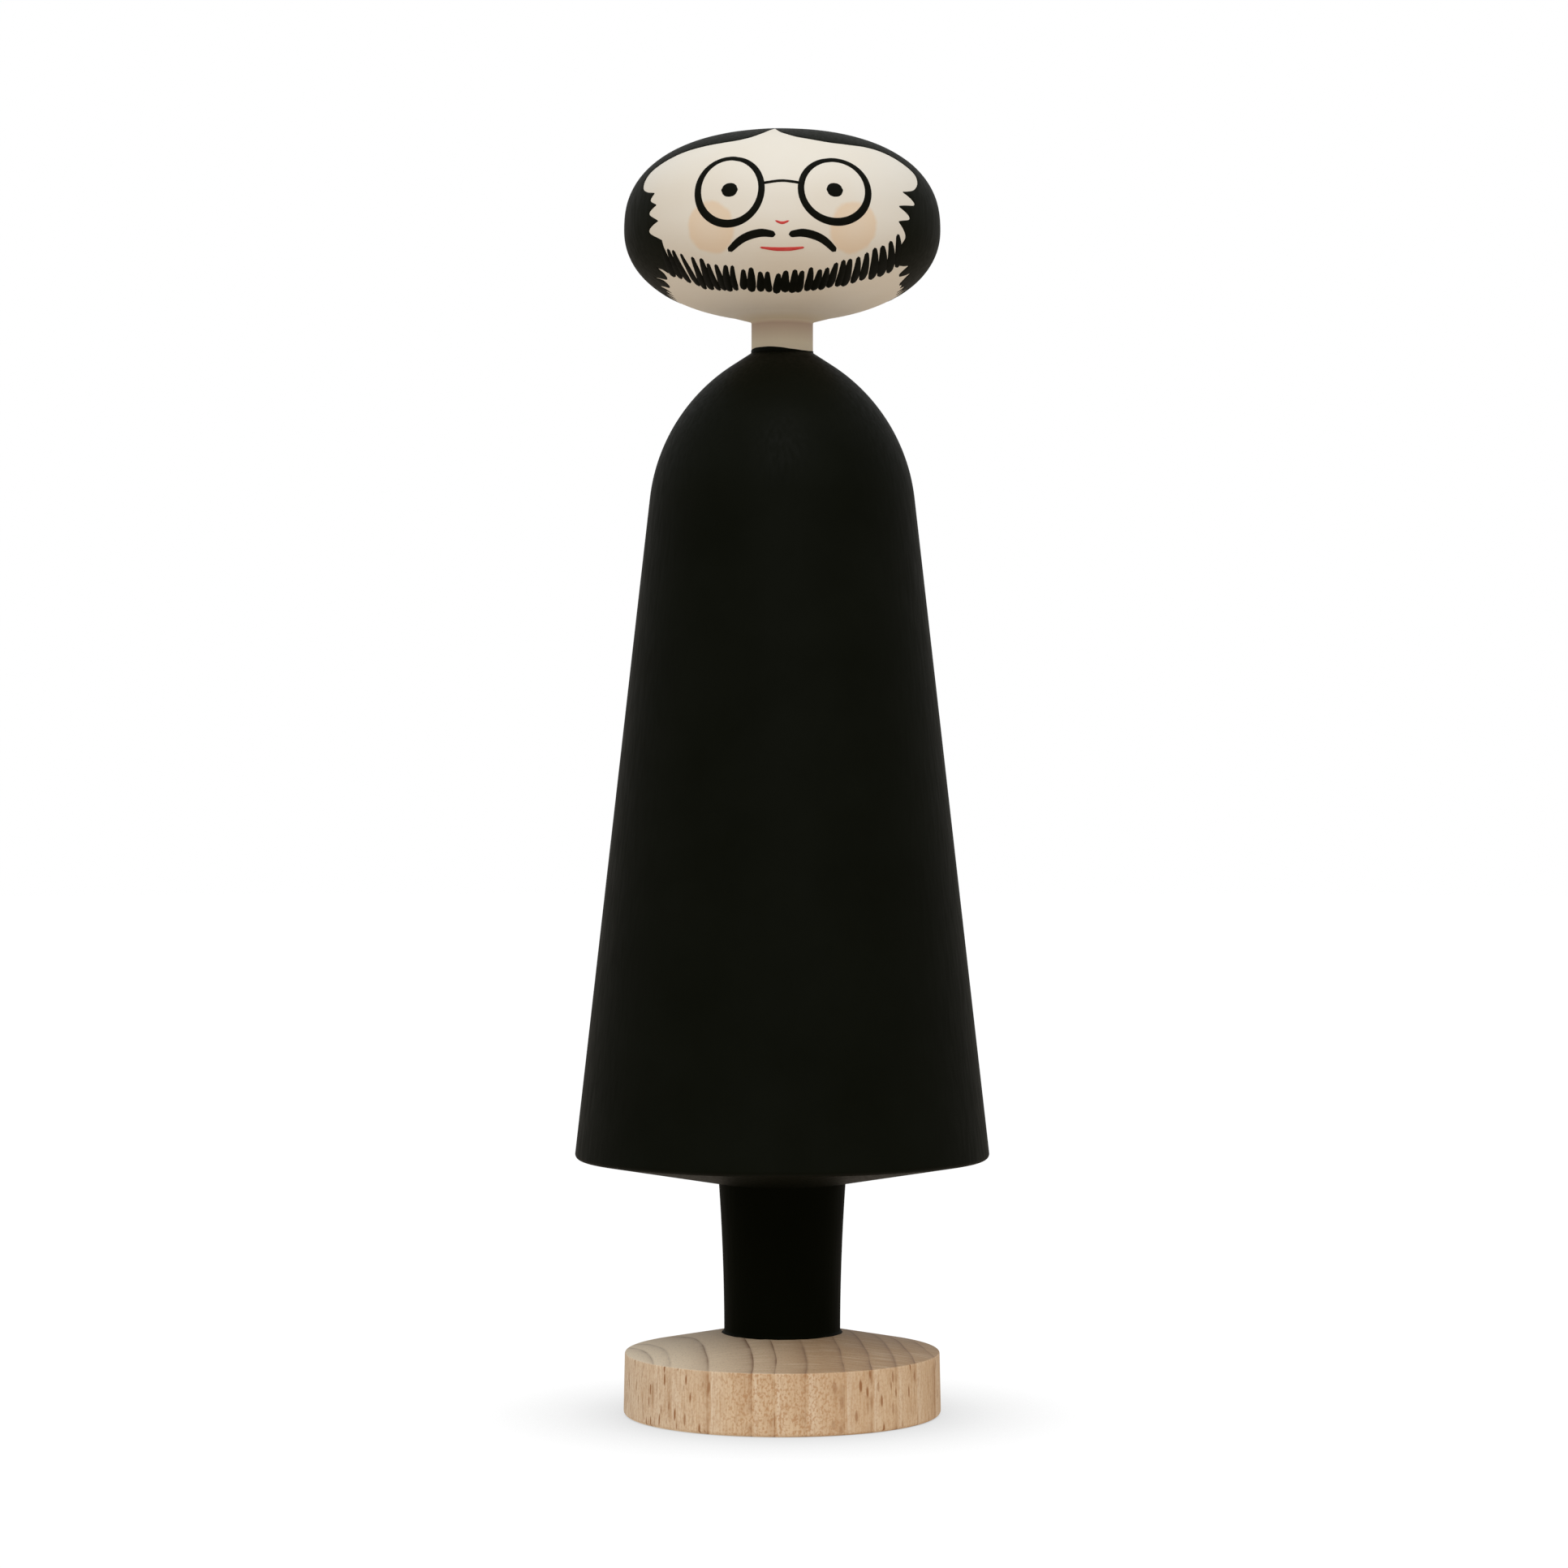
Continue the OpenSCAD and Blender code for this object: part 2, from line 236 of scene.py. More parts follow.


# Cream satin paint brushed on sanded beech: an even warm cream that lets a trace of the upright grain
# through, thinner and browner on the neck, where the browner tone also stands in as painted warm shade, darker
# on the neck just under the head as painted shade cast by the head, with a peach wash on the cheeks
creamPaint = {
    "cream": "#ECE7DC", "warmer": "#E9E0D0", "thinWarmShade": "#E8DDC6", "underHeadShade": "#C9B4A4", "wash": "#EBC596",
    "patch": {"size": (14, 14, 14), "octaves": 3, "noise": (0.35, 0.7), "gives": (0, 0.6)},
    "grain": {"size": (0.5, 0.5, 7), "octaves": 3, "noise": (0.3, 0.7), "gives": (0.45, 0.57)},  # roughness
    # the radii where the coat thins and browns, then the depths under the head where the painted shade starts,
    # is darkest and fades out
    "thinR": (8, 5), "shadeDepth": (0.45, 1.1, 4.1),
    "washAt": (10.6, -21.2, 184), "washR": 4, "washEdgeR": (4.75, 3.95), "washShare": 0.5, "washMiddle": 0.72,
    "ragged": {"size": (1.6, 1.6, 1.6), "octaves": 3, "noise": (0, 1), "gives": (0, 0.8)},
    "ior": 1.48, "shine": 0.2, "bump": 0.35, "relief": 0.02,
}


def makeCream(name, look):
    material, tree = newMaterial(name)
    noises, gives = drawMarks(tree, look, ("patch", "grain", "ragged"))
    # towards the axis the coat thins and browns, partly as painted warm shade, and on the neck just under the
    # head it darkens as painted shade from the head above
    level = addNode(tree, "VectorMath", {0: inMillimetres(tree), 1: (1, 1, 0)}, operation="MULTIPLY")
    reach = addNode(tree, "VectorMath", {0: level}, operation="LENGTH").outputs["Value"]
    split = addNode(tree, "SeparateXYZ", {0: inMillimetres(tree)})
    full, thinnest = look["thinR"]
    thinAndShadeShare = addNode(tree, "MapRange", {0: reach, 1: full, 2: thinnest})
    shadeTop, shadeDarkest, shadeEnd = [headSeatZ - depth for depth in look["shadeDepth"]]
    below = addNode(tree, "MapRange", {0: split.outputs["Z"], 1: shadeTop, 2: shadeDarkest, 4: thinAndShadeShare})
    shadeShare = addNode(tree, "MapRange", {0: split.outputs["Z"], 1: shadeEnd, 2: shadeDarkest, 4: below})
    # the wash: a round dab on each cheek with a soft, ragged edge, a little thinner in its middle
    sideways = addNode(tree, "Math", {0: split.outputs["X"]}, operation="ABSOLUTE")
    mirrored = addNode(tree, "CombineXYZ", {0: sideways, 1: split.outputs["Y"], 2: split.outputs["Z"]})
    away = addNode(tree, "VectorMath", {0: mirrored, 1: look["washAt"]}, operation="DISTANCE")
    away = away.outputs["Value"]
    awayRagged = addNode(tree, "Math", {0: gives["ragged"], 1: away}, operation="ADD")
    outer, inner = look["washEdgeR"]
    dab = addNode(tree, "MapRange", {0: awayRagged, 1: outer, 2: inner, 4: look["washShare"]},
                  interpolation_type="SMOOTHSTEP")
    middle = addNode(tree, "MapRange", {0: away, 2: look["washR"], 3: look["washMiddle"]})
    washShare = addNode(tree, "Math", {0: dab, 1: middle}, operation="MULTIPLY")
    # tints: random warm patches, the thin coat with its painted warm shade, the painted shade under the head,
    # the wash
    layers = [(gives["patch"], look["warmer"]), (thinAndShadeShare, look["thinWarmShade"]), (shadeShare, look["underHeadShade"]),
              (washShare, look["wash"])]
    finishSurface(tree, look, look["cream"], layers, gives["grain"], noises["grain"])
    return material


# Black paints, all brushed on: matte on the robe and the leg, a little satin on the hair. Matte black drinks
# the light and only greys towards its outline; the hair shows more of the room in its rounder sides
robeBlack = {
    "black": "#0A0C05", "dusty": "#0E1009",
    "patch": {"size": (11, 11, 11), "octaves": 4, "noise": (0.3, 0.7), "gives": (0, 1)},
    "grain": {"size": (0.6, 0.6, 9), "octaves": 3, "noise": (0.3, 0.7), "gives": (0.44, 0.58)},  # roughness
    "ior": 1.45, "shine": 0.044, "bump": 0.4, "relief": 0.02,
}
legBlack = dict(robeBlack, black="#090B03", dusty="#0C0E05", shine=0.02)
hairBlack = dict(robeBlack, black="#0E1008", dusty="#13150D", shine=0.05,
                 grain=dict(robeBlack["grain"], size=(0.5, 0.5, 6)))
strokeBlack = dict(hairBlack, black="#0D0E09", dusty="#12130D",
                   patch=dict(robeBlack["patch"], size=(3, 3, 3)))


def makeBlack(name, look):
    material, tree = newMaterial(name)
    noises, gives = drawMarks(tree, look, ("patch", "grain"))
    dust = (gives["patch"], look["dusty"])
    finishSurface(tree, look, look["black"], [dust], gives["grain"], noises["grain"])
    return material


# Red satin paint on the mouth and the nose: loaded strokes, paler where the brush ran dry
mouthRed = {
    "red": "#CE3434", "pale": "#D8574F", "roughness": 0.4, "ior": 1.48, "shine": 0.3,
    "dry": {"size": (1.5, 1.5, 0.25), "octaves": 2, "noise": (0.42, 0.72), "gives": (0, 1)},
}


def makeRed(name, look):
    material, tree = newMaterial(name)
    dryShare = drawMarks(tree, look, ["dry"])[1]["dry"]
    finishSurface(tree, look, look["red"], [(dryShare, look["pale"])], look["roughness"])
    return material


# Zinc-plated steel screw, turned and tumbled: bright grey, with a faint bloom in clouds that are a bit duller
zincSteel = {
    "zinc": "#BFC1BE", "bloom": "#A3A7A2",
    "cloud": {"size": (1.2, 1.2, 1.2), "octaves": 4, "noise": (0, 1), "gives": (0, 1)},
    "dull": {"size": (1.2, 1.2, 1.2), "octaves": 4, "noise": (0.3, 0.7), "gives": (0.26, 0.44)},  # roughness
}


def makeZinc(name, look):
    material, tree = newMaterial(name)
    gives = drawMarks(tree, look, ("cloud", "dull"))[1]
    plating = addNode(tree, "Mix", {0: gives["cloud"], 6: look["zinc"], 7: look["bloom"]}, data_type="RGBA")
    shader = addNode(tree, "BsdfPrincipled", {
        "Base Color": plating.outputs[2], "Metallic": 1.0, "Roughness": gives["dull"]})
    addNode(tree, "OutputMaterial", {"Surface": shader})
    return material


beech = makeBeech("beech_turned_sanded", bareBeech)
cream = makeCream("cream_satin_paint_brushed", creamPaint)
robePaint = makeBlack("black_matte_paint_robe", robeBlack)
legPaint = makeBlack("black_matte_paint_leg", legBlack)
hairPaint = makeBlack("black_satin_paint_hair", hairBlack)
strokePaint = makeBlack("black_satin_paint_strokes", strokeBlack)
mouthPaint = makeRed("red_satin_paint", mouthRed)
zinc = makeZinc("steel_zinc_plated", zincSteel)
print("materials made:", len(bpy.data.materials))


# Meshes

def turnSteps(count):
    return [math.tau * i / count for i in range(count)]


def around(r, angle, z):
    # a place round the upright axis, from the middle of the face to the viewer's right
    return r * math.sin(angle), -r * math.cos(angle), z


def joinRings(rings):
    # faces between neighbouring rings of vertices, with three corners where a ring is one point
    faces = []
    for low, high in zip(rings, rings[1:]):
        for i in range(len(low)):
            j = (i + 1) % len(low)
            faces.append(list(dict.fromkeys([low[i], low[j], high[j], high[i]])))
    return faces


def addObject(name, data):
    thing = bpy.data.objects.new(name, data)
    bpy.context.scene.collection.objects.link(thing)
    return thing


def makePiece(name, vertices, faces, material, slot, sharpAngle=35):
    mesh = bpy.data.meshes.new(name)
    build = bmesh.new()
    corners = [build.verts.new([c * mm for c in v]) for v in vertices]
    for face in faces:
        build.faces.new([corners[i] for i in face]).smooth = True
    bmesh.ops.recalc_face_normals(build, faces=build.faces)
    build.to_mesh(mesh)
    build.free()
    mesh.materials.append(material)
    mesh.set_sharp_from_angle(angle=math.radians(sharpAngle))
    piece = addObject(name, mesh)
    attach(piece, "root")
    return piece


def roundCorner(before, corner, after, radius, steps):
    # points of the arc that eases a corner of an outline
    corner = Vector(corner)
    one, two = (Vector(before) - corner).normalized(), (Vector(after) - corner).normalized()
    half = one.angle(two) / 2
    middle = corner + (one + two).normalized() * radius / math.sin(half)
    start = corner + one * radius / math.tan(half) - middle
    sweep = math.pi - 2 * half
    if one.x * two.y - one.y * two.x > 0:
        sweep = -sweep
    arc = []
    for i in range(steps + 1):
        turn = sweep * i / steps
        arc.append((middle.x + start.x * math.cos(turn) - start.y * math.sin(turn),
                    middle.y + start.x * math.sin(turn) + start.y * math.cos(turn)))
    return arc


boreShape = {"mouth": 0.4, "pointAngle": 150}


def boreOutline(diameter, depth, faceZ, way):
    # blind bore from its chamfered mouth at a face to its blunt point on the axis, up (1) or down (-1)
    r = diameter / 2
    tip = r / math.tan(math.radians(boreShape["pointAngle"] / 2))
    return [(r + boreShape["mouth"], faceZ), (r, faceZ + way * boreShape["mouth"]), (r, faceZ + way * depth),
            (0, faceZ + way * (depth + tip))]


def splitWalls(outline, longest):
    # long straight walls get rings in between, so that the shading stays even
    split = [outline[0]]
    for (r0, z0), (r1, z1) in zip(outline, outline[1:]):
        count = max(1, math.ceil(math.hypot(r1 - r0, z1 - z0) / longest))
        split += [(r0 + (r1 - r0) * i / count, z0 + (z1 - z0) * i / count) for i in range(1, count + 1)]
    return split


def turnPiece(name, outline, turns, material, slot, node, longest=3.0):
    # a piece turned on the lathe: its outline of (radius, height) points goes round the upright axis
    vertices, rings = [], []
    for r, z in splitWalls(outline, longest):
        first = len(vertices)
        if r < tiny:
            vertices.append((0, 0, z))
            rings.append([first] * turns)
            continue
        vertices += [around(r, a, z) for a in turnSteps(turns)]
        rings.append(range(first, first + turns))
    if outline[0][0] > tiny:
        rings[-1] = rings[0]  # an outline that never meets the axis ends where it began
        vertices = vertices[:-turns]
    piece = makePiece(name, vertices, joinRings(rings), material, slot)
    piece.modifiers.new("evenWalls", "WEIGHTED_NORMAL").keep_sharp = True
    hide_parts(node)
    return piece


# Base disc: upright rim, conical top, and a countersunk hole for the screw
baseDisc = {"footD": 50, "rimD": 49.6, "rimHeight": 9.7, "footRound": 0.6, "rimRound": 0.3, "holeD": 4.6,
            "sinkD": 8.6, "sinkDepth": 0.95, "edgeSteps": 10, "turns": 240}


def makeBase(look):
    foot, rim = (look["footD"] / 2, 0), (look["rimD"] / 2, look["rimHeight"])
    seat = (seats["legFootD"] / 2, legZ)
    hole, sink = look["holeD"] / 2, look["sinkD"] / 2
    outline = [(hole, legZ), (hole, look["sinkDepth"] + sink - hole), (sink, look["sinkDepth"]), (sink, 0)]
    outline += roundCorner((sink, 0), foot, rim, look["footRound"], look["edgeSteps"])
    outline += roundCorner(foot, rim, seat, look["rimRound"], look["edgeSteps"])
    outline += [seat, (hole, legZ)]
    return turnPiece("baseTurned", outline, look["turns"], beech, "beech", "base_disc")


# Leg: a straight flare with a shallow hollow, drilled for the screw below and the dowel above
legTurned = {"hollow": 0.2, "screwBoreD": 4.1, "screwBoreDepth": 8.6, "dowelBoreDepth": 9.1, "steps": 24,
             "turns": 160}


def makeLeg(look):
    foot, top = seats["legFootD"], seats["legTopD"]
    outline = boreOutline(look["screwBoreD"], look["screwBoreDepth"], legZ, 1)[::-1]
    for i in range(look["steps"] + 1):
        t = i / look["steps"]
        r = (foot + (top - foot) * t) / 2 - look["hollow"] * 4 * t * (1 - t)
        outline.append((r, legZ + (robeZ - legZ) * t))
    outline += boreOutline(seats["dowelBoreD"], look["dowelBoreDepth"], robeZ, -1)
    return turnPiece("legTurned", outline, look["turns"], legPaint, "leg_paint", "leg")


# Robe: conical underside, rounded hem, straight sides and rounded shoulders up to the collar
robeTurned = {"hemD": 65.4, "height": 126.7, "collarD": 9.8, "sideSlope": 6.5, "shoulderSlope": 57,
              "shoulderRound": 28.8, "hemRound": 0.8, "dowelBoreDepth": 22.1, "tenonBoreDepth": 16.6,
              "shoulderSteps": 64, "hemSteps": 14, "turns": 240}


def shoulderCorner(look):
    # where the line of the side would meet the line of the shoulder
    side, shoulder = math.tan(math.radians(look["sideSlope"])), math.tan(math.radians(look["shoulderSlope"]))
    drop = ((look["hemD"] - look["collarD"]) / 2 - side * look["height"]) / (shoulder - side)
    return look["collarD"] / 2 + shoulder * drop, collarZ - drop


def makeRobe(look):
    seat, hem = (seats["legTopD"] / 2, robeZ), (look["hemD"] / 2, collarZ - look["height"])
    corner, collar = shoulderCorner(look), (look["collarD"] / 2, collarZ)
    outline = boreOutline(seats["dowelBoreD"], look["dowelBoreDepth"], robeZ, 1)[::-1] + [seat]
    outline += roundCorner(seat, hem, corner, look["hemRound"], look["hemSteps"])
    outline += roundCorner(hem, corner, collar, look["shoulderRound"], look["shoulderSteps"])
    outline += [collar] + boreOutline(seats["tenonBoreD"], look["tenonBoreDepth"], collarZ, -1)
    return turnPiece("robeTurned", outline, look["turns"], robePaint, "robe_paint", "robe")


# Head: a superellipse of its own fullness above and below the widest line
headTurned = {"widestD": 49.7, "crownHeight": 15.2, "jawDepth": 14.1, "crownFullness": 2.34,
              "jawFullness": 2.19, "boreDepth": 12.6, "steps": 72, "mapSteps": 400, "turns": 240}
headMidZ = headTopZ - headTurned["crownHeight"]


def headOutline(look, steps):
    # (radius, height) points from the pole of the crown to the neck's seat
    r, crown, jaw = look["widestD"] / 2, look["crownFullness"], look["jawFullness"]
    seatAngle = math.acos((seats["neckD"] / look["widestD"]) ** (jaw / 2))
    points = [(0, headTopZ)]
    for i in range(1, steps + 1):
        a = math.pi / 2 * (1 - i / steps)
        rise = look["crownHeight"] * math.sin(a) ** (2 / crown)
        points.append((r * math.cos(a) ** (2 / crown), headMidZ + rise))
    for i in range(1, steps + 1):
        a = seatAngle * i / steps
        drop = look["jawDepth"] * math.sin(a) ** (2 / jaw)
        points.append((r * math.cos(a) ** (2 / jaw), headMidZ - drop))
    return points


def makeHead(look):
    outline = headOutline(look, look["steps"])
    outline += boreOutline(seats["tenonBoreD"], look["boreDepth"], headSeatZ, 1)
    return turnPiece("headTurned", outline, look["turns"], cream, "cream_paint", "head")


# Neck: a tenon at each end, and a wide low fillet of filler and paint where it meets the head
neckTurned = {"tenonD": 7, "chamfer": 0.6, "filletReach": 3.7, "filletDrop": 0.55, "filletRound": 0.5,
              "filletSteps": 8, "turns": 128}


def makeNeck(look):
    low, high = boxOf("neck")
    r, tenon, chamfer = seats["neckD"] / 2, look["tenonD"] / 2, look["chamfer"]
    rim = r + look["filletReach"]  # the fillet ends on the first ring of the jaw beyond this
    jaw = next(spot for spot in reversed(headOutline(headTurned, headTurned["steps"])) if spot[0] > rim)
    outline = [(0, low.z), (tenon - chamfer, low.z), (tenon, low.z + chamfer), (tenon, collarZ), (r, collarZ)]
    outline += roundCorner((r, collarZ), (r, headSeatZ - look["filletDrop"]), jaw, look["filletRound"],
                           look["filletSteps"])
    outline += [jaw, (tenon, headSeatZ), (tenon, high.z - chamfer), (tenon - chamfer, high.z), (0, high.z)]
    return turnPiece("neckTurned", outline, look["turns"], cream, "cream_paint", "neck")


# Base screw: a countersunk head with a cross recess, and a thread that winds up the core to the point
baseScrew = {"headD": 8, "headEdge": 0.4, "coreD": 2.8, "pointLength": 3, "turns": 72,
             "recessSpan": 4.4, "recessWidth": 1.1, "recessDepth": 1.8, "recessTaper": 0.5,
             "threadD": 4, "pitch": 1.8, "threadStart": 4.6, "ridgeHalf": 0.42, "crestHalf": 0.06,
             "sunk": 0.1, "runIn": 0.6, "endGap": 0.3, "windSteps": 40}


def makeScrew(look):
    low, high = boxOf("base_screw")
    span, width, core, head = look["recessSpan"], look["recessWidth"], look["coreD"] / 2, look["headD"] / 2
    corner, quarter = math.atan(width / span), math.pi / 2
    corners = [(quarter * k + side * corner) % math.tau for k in range(4) for side in (-1, 1)]
    angles = sorted(turnSteps(look["turns"]) + corners)
    # the edge of the recess as a distance from the axis: the ends of the four arms, then their sides
    mouth = []
    for a in angles:
        off = abs((a + quarter / 2) % quarter - quarter / 2)
        mouth.append(span / 2 / math.cos(off) if off < corner + tiny else width / 2 / math.sin(off))
    floor = [r * look["recessTaper"] for r in mouth]
    floorZ, coneZ = low.z + look["recessDepth"], low.z + look["headEdge"]
    levels = [(floor, floorZ), (mouth, low.z)]
    levels += [([r] * len(angles), z) for r, z in ((head, low.z), (head, coneZ), (core, coneZ + head - core),
                                                   (core, high.z - look["pointLength"]))]
    vertices, count = [(0, 0, floorZ), (0, 0, high.z)], len(angles)
    rings = [[0] * count]
    for radii, z in levels:
        rings.append(range(len(vertices), len(vertices) + count))
        vertices += [around(r, a, z) for r, a in zip(radii, angles)]
    faces = joinRings(rings + [[1] * count])
    # the thread is a closed ridge of its own, sunk a little into the core and slimmer along the point
    sections = []
    for i in range(int((high.z - look["endGap"] - look["threadStart"]) / look["pitch"] * look["windSteps"])):
        turn = i / look["windSteps"]
        z, angle = look["threadStart"] + look["pitch"] * turn, math.tau * turn
        slim = min(1, (high.z - z) / look["pointLength"])
        crest = core + (look["threadD"] / 2 - core) * min(1, turn / look["runIn"])
        ridge = ((core - look["sunk"], -look["ridgeHalf"]), (crest, -look["crestHalf"]),
                 (crest, look["crestHalf"]), (core - look["sunk"], look["ridgeHalf"]))
        sections.append(range(len(vertices), len(vertices) + len(ridge)))
        vertices += [around(r * slim, angle, z + rise * slim) for r, rise in ridge]
    faces += joinRings(sections) + [sections[0], sections[-1][::-1]]
    piece = makePiece("screwThreaded", vertices, faces, zinc, "screw_steel")
    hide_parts("base_screw")
    return piece


turned = [makeBase(baseDisc), makeLeg(legTurned), makeRobe(robeTurned), makeNeck(neckTurned),
          makeHead(headTurned), makeScrew(baseScrew)]
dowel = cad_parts["waist_dowel"].data
dowel.materials.clear()
dowel.materials.append(beech)
print("turned pieces made:", ", ".join(piece.name for piece in turned))


# Places on the head: azimuth from the middle of the face, positive to the viewer's right, and the distance
# down the surface from the pole of the crown
meridian = []
travelled = 0.0
for spot in headOutline(headTurned, headTurned["mapSteps"]):
    if meridian:
        travelled += math.dist(spot, meridian[-1][1:])
    meridian.append((travelled, *spot))
meridianDistance = [m[0] for m in meridian]
meridianDrop = [-m[2] for m in meridian]


def distanceOfHeight(z):
    i = min(max(bisect.bisect_right(meridianDrop, -z), 1), len(meridian) - 1)
    (d0, _, z0), (d1, _, z1) = meridian[i - 1], meridian[i]
    return d0 + (d1 - d0) * min(max((z0 - z) / (z0 - z1), 0), 1)


def headSpot(azimuth, distance, lift=0.0):
    i = min(max(bisect.bisect_right(meridianDistance, distance), 1), len(meridian) - 1)
    (d0, r0, z0), (d1, r1, z1) = meridian[i - 1], meridian[i]
    t = min(max((distance - d0) / (d1 - d0), 0), 1)
    outward = Vector((z0 - z1, r1 - r0)).normalized()
    r = r0 + (r1 - r0) * t + lift * outward.x
    z = z0 + (z1 - z0) * t + lift * outward.y
    return Vector(around(r, azimuth, z))


def headRadius(z):
    spot = headSpot(0, distanceOfHeight(z))
    return math.hypot(spot.x, spot.y)


def faceSpot(x, z):
    # a place on the face as it is seen from straight ahead
    return headSpot(math.asin(x / headRadius(z)), distanceOfHeight(z))


def smoothRun(points, step):
    # an even run of points along the curve through the given ones
    padded = [points[0] * 2 - points[1], *points, points[-1] * 2 - points[-2]]
    run = []
    for p0, p1, p2, p3 in zip(padded, padded[1:], padded[2:], padded[3:]):
        count = max(2, math.ceil((p2 - p1).length / step))
        for i in range(count):
            t = i / count
            run.append(0.5 * (2 * p1 + (p2 - p0) * t + (2 * p0 - 5 * p1 + 4 * p2 - p3) * t * t
                              + (3 * p1 - p0 - 3 * p2 + p3) * t ** 3))
    return run + [points[-1]]


# Brush strokes: long low domes of paint on the head, each one a closed shell, lower where a stroke is slim
strokeShape = {"across": (-1, -0.66, 0, 0.66, 1), "dome": (0, 0.7, 1, 0.7, 0), "sunk": 0.03, "under": 0.1,
               "step": 0.3, "fullHalf": 0.25, "endShare": 0.1}


def layStroke(vertices, faces, spots, widths, lift):
    # widths are spread evenly from the first touch of the brush to the last, and both ends are rounded off
    line = smoothRun(spots, strokeShape["step"])
    along = [0.0]
    for a, b in zip(line, line[1:]):
        along.append(along[-1] + (b - a).length)
    total, rings, count = along[-1], [], len(strokeShape["across"]) + 1
    for i, spot in enumerate(line):
        azimuth, distance = math.atan2(spot.x, -spot.y), distanceOfHeight(spot.z)
        outward = (headSpot(azimuth, distance, 1.0) - headSpot(azimuth, distance)).normalized()
        ahead = line[min(i + 1, len(line) - 1)] - line[max(i - 1, 0)]
        across = outward.cross(ahead).normalized()
        share = along[i] / total * (len(widths) - 1)
        k = min(int(share), len(widths) - 2)
        half = (widths[k] + (widths[k + 1] - widths[k]) * (share - k)) / 2
        toEnd = min(along[i], total - along[i])
        if toEnd < half:
            half *= max(math.sqrt(1 - (1 - toEnd / half) ** 2), strokeShape["endShare"])
        rings.append(range(len(vertices), len(vertices) + count))
        for place, dome in zip(strokeShape["across"], strokeShape["dome"]):
            side = spot + across * half * place
            height = lift * dome * min(1, half / strokeShape["fullHalf"]) - strokeShape["sunk"] * (dome == 0)
            vertices.append(headSpot(math.atan2(side.x, -side.y), distanceOfHeight(side.z), height))
        vertices.append(headSpot(azimuth, distance, -strokeShape["under"]))
    faces += joinRings(rings) + [rings[0], rings[-1][::-1]]


# Hair: one film of black paint with a centre parting, a notch at each temple, ragged sideburns and a toothed
# lower edge
hair = {
    # (azimuth, height) along the edge of the film, a smooth run at a time, each from the corner where the one
    # before it ended: from the parting down the left side, then up the right side and back to the parting
    "leftEdge": [
        [(-6.5, 200.9), (-7.4, 200.5), (-9.5, 199.85), (-11.5, 199.3), (-16, 198.45), (-22, 197.9),
         (-30, 197.6), (-38, 197.3), (-45, 196.95), (-52.5, 196.3), (-60, 195.1), (-64, 194.1), (-65, 192.8),
         (-63, 191.4), (-58.5, 190.6), (-53, 190.2)],
        [(-55.1, 189.1), (-50.8, 188.2)],
        [(-55.3, 187.05), (-49.7, 185.65)],
        [(-56, 184.3), (-49.6, 182.8)],
        [(-50, 181), (-51.5, 179.8), (-54, 178.8), (-57, 178.15)],
        [(-58.8, 178.7), (-61, 179)],
        [(-60, 178.3), (-60.7, 177.7)],
        [(-62.7, 177.45), (-66.2, 177.7), (-69.6, 178)],
        [(-66.4, 177.6), (-66, 177.1), (-67.2, 176.65)],
        [(-69.8, 176.5), (-72.2, 176.75), (-76.3, 177)],
        [(-75, 176.5), (-75.8, 175.95)],
        [(-78.6, 176.35), (-80.4, 175.65)],
        [(-83.6, 176.25), (-85.2, 175.45)],
        [(-88.6, 176.5), (-89.9, 175.35)],
    ],
    "rightEdge": [
        [(90, 176.1), (87.9, 177.2), (84.8, 176)],
        [(83, 176.75), (80.2, 176.2)],
        [(78.4, 176.95), (75.4, 176.65)],
        [(72.7, 177), (70.6, 176.9), (68.3, 177.15)],
        [(67.4, 177.9), (67.6, 178.55)],
        [(65.3, 178.15), (62, 177.85), (59.8, 178.15)],
        [(60.2, 178.8), (61.2, 179.4)],
        [(57.5, 179.2), (54, 179.3), (51, 180.5), (49.8, 182), (50.7, 183.4), (45.6, 185.45)],
        [(52, 186.2), (45.3, 187.8)],
        [(55.3, 188.45), (48.2, 190.2)],
        [(53, 190.45), (57.5, 191), (62, 192.3), (63.8, 193.7), (60, 195.1), (52.5, 196.5), (47, 197),
         (40, 197.25), (32, 197.3), (23, 197.45), (15, 197.9), (7, 198.45), (1.5, 199.15), (-1.5, 199.65),
         (-5, 200.45), (-6.5, 200.9)],
    ],
    # teeth round the back: where their tips and roots may lie, as shares of a tooth, and how deep they are
    "backTeeth": 24, "tipShift": 0.25, "rootPlace": (0.35, 0.65), "backDepth": 1.5, "backSpread": 0.35,
    "edgeStep": 0.25, "wobble": 0.06, "wobbleLength": 3.1, "seed": 11,
    "bevel": (0.15, 0.36), "lipRoom": 0.85, "grid": 0.8, "edgeRoom": 0.55, "weld": 1e-5, "onEdge": 1e-3,
    "lift": 0.08, "under": 0.1, "waves": 0.02, "waveLength": 4,
}


def onMap(azimuthDegrees, z):
    # flat map of the head, seen from the crown, true along every meridian
    distance, azimuth = distanceOfHeight(z), math.radians(azimuthDegrees)
    return Vector((distance * math.sin(azimuth), -distance * math.cos(azimuth)))


